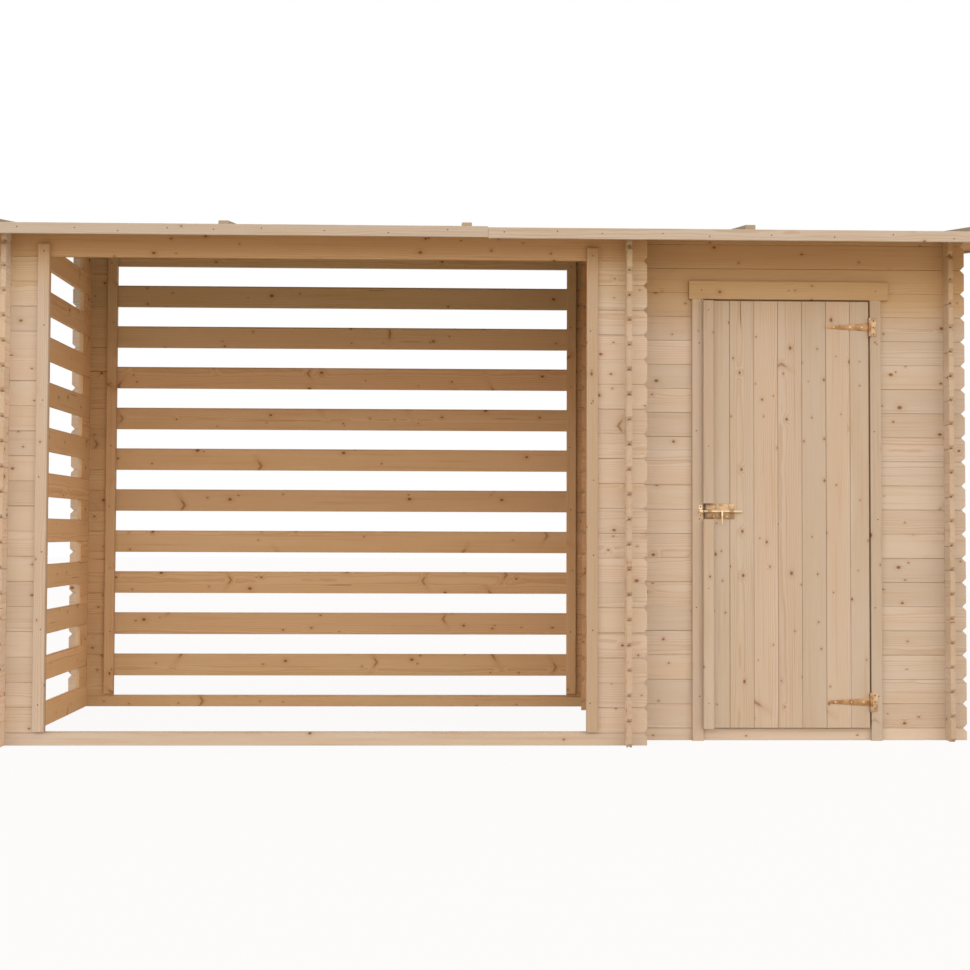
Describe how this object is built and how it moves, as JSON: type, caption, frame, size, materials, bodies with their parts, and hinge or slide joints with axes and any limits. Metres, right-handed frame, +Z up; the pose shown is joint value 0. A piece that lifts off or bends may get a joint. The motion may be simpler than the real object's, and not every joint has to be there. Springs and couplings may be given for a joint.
{
  "type": "log store with tool shed",
  "caption": "Timber log store with an open slatted bay and a plank shed beside it, closed by a hinged boarded door with a barrel bolt, under one sloping roof.",
  "frame": {"origin": "on the ground, under the middle of the roof", "axes": "+X to the right along the front, +Y to the back, +Z up; the front faces -Y"},
  "size_m": [4.436, 1.6327, 2.2247],
  "materials": {
    "wall_planks": "planed untreated spruce",
    "trim_timber": "planed untreated spruce",
    "door_timber": "planed untreated spruce boards",
    "roof_boards": "planed untreated spruce boards",
    "felt": "mineral surfaced roofing felt",
    "hinge_steel": "yellow zinc plated steel",
    "bolt_zinc": "yellow zinc plated steel"
  },
  "bodies": {
    "building": {"store_front_sill": "wall_planks", "store_front_beam": "wall_planks", "store_front_left_boards": "wall_planks", "store_front_right_boards": "wall_planks", "store_front_left_post": "trim_timber", "store_front_right_post": "trim_timber", "store_left_slats": "wall_planks", "store_left_front_fillers": "wall_planks", "store_left_back_fillers": "wall_planks", "store_back_sill": "wall_planks", "store_back_slats": "wall_planks", "store_back_left_fillers": "wall_planks", "store_back_right_fillers": "wall_planks", "store_back_left_post": "wall_planks", "store_back_right_post": "wall_planks", "dividing_wall": "wall_planks", "shed_right_wall": "wall_planks", "shed_back_wall": "wall_planks", "shed_front_sill": "wall_planks", "shed_front_left_wall": "wall_planks", "shed_front_right_wall": "wall_planks", "shed_front_upper_wall": "wall_planks", "door_left_jamb": "door_timber", "door_right_jamb": "door_timber", "door_header": "door_timber", "bottom_hinge_plate": "hinge_steel", "top_hinge_plate": "hinge_steel", "bolt_keeper": "bolt_zinc", "roof_deck": "roof_boards", "roof_felt": "felt", "front_fascia_left": "trim_timber", "front_fascia_right": "trim_timber", "back_fascia_left": "trim_timber", "back_fascia_right": "trim_timber", "left_verge_board": "trim_timber", "right_verge_board": "trim_timber", "roof_battens": "trim_timber"},
    "door": {"door_leaf": "door_timber", "door_ledges": "door_timber", "door_closing_strip": "door_timber", "bottom_hinge_strap": "hinge_steel", "top_hinge_strap": "hinge_steel", "bolt_plate": "bolt_zinc"},
    "bolt": {"bolt_rod": "bolt_zinc"}
  },
  "joints": [
    {"name": "door_hinge", "type": "hinge", "parent": "building", "child": "door", "pos_m": [1.525, -0.5285, 0.895], "axis": [0, 0, 1], "range_deg": [0, 150]},
    {"name": "bolt_slide", "type": "slide", "parent": "door", "child": "bolt", "axis": [-1, 0, 0], "range_m": [0, 0.024]}
  ]
}
